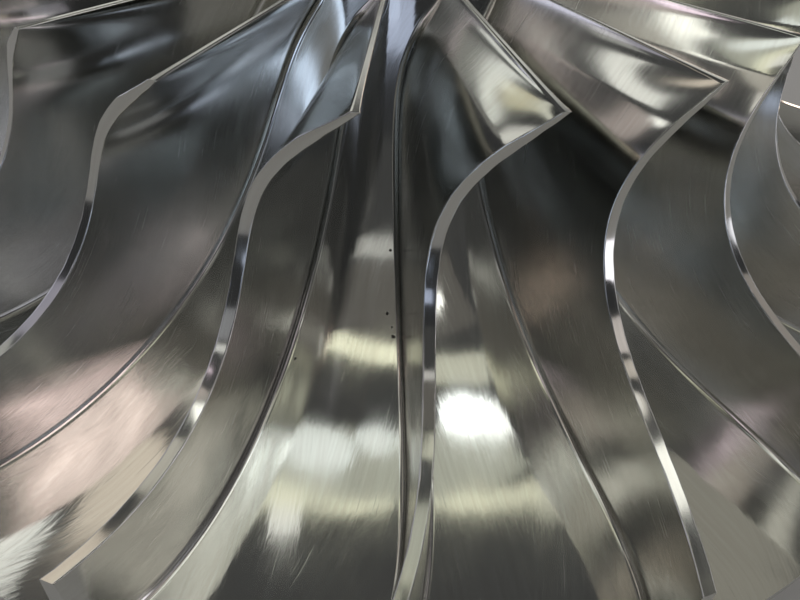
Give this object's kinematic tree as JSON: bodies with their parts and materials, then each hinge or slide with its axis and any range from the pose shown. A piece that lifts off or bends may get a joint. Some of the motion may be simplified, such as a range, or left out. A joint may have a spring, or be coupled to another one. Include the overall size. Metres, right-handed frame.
{
  "type": "stainless steel compressor impeller",
  "caption": "Semi-open radial impeller with curved full blades on a turned hub and back disc with a plain through bore.",
  "frame": {"origin": "on the axis, in the plane of the flat back face", "axes": "+Z along the axis towards the inlet, the shortest side of the part"},
  "size_m": [0.5, 0.5, 0.1623],
  "materials": {
    "hub_steel": "satin",
    "blade_steel": "polished"
  },
  "bodies": {
    "root": {"hub_disc": "hub_steel", "blade_01": "blade_steel", "blade_02": "blade_steel", "blade_03": "blade_steel", "blade_04": "blade_steel", "blade_05": "blade_steel", "blade_06": "blade_steel", "blade_07": "blade_steel", "blade_08": "blade_steel", "blade_09": "blade_steel", "blade_10": "blade_steel", "blade_11": "blade_steel", "blade_12": "blade_steel", "blade_13": "blade_steel", "blade_14": "blade_steel", "blade_15": "blade_steel", "blade_16": "blade_steel", "blade_17": "blade_steel", "blade_18": "blade_steel", "blade_19": "blade_steel"}
  },
  "joints": []
}
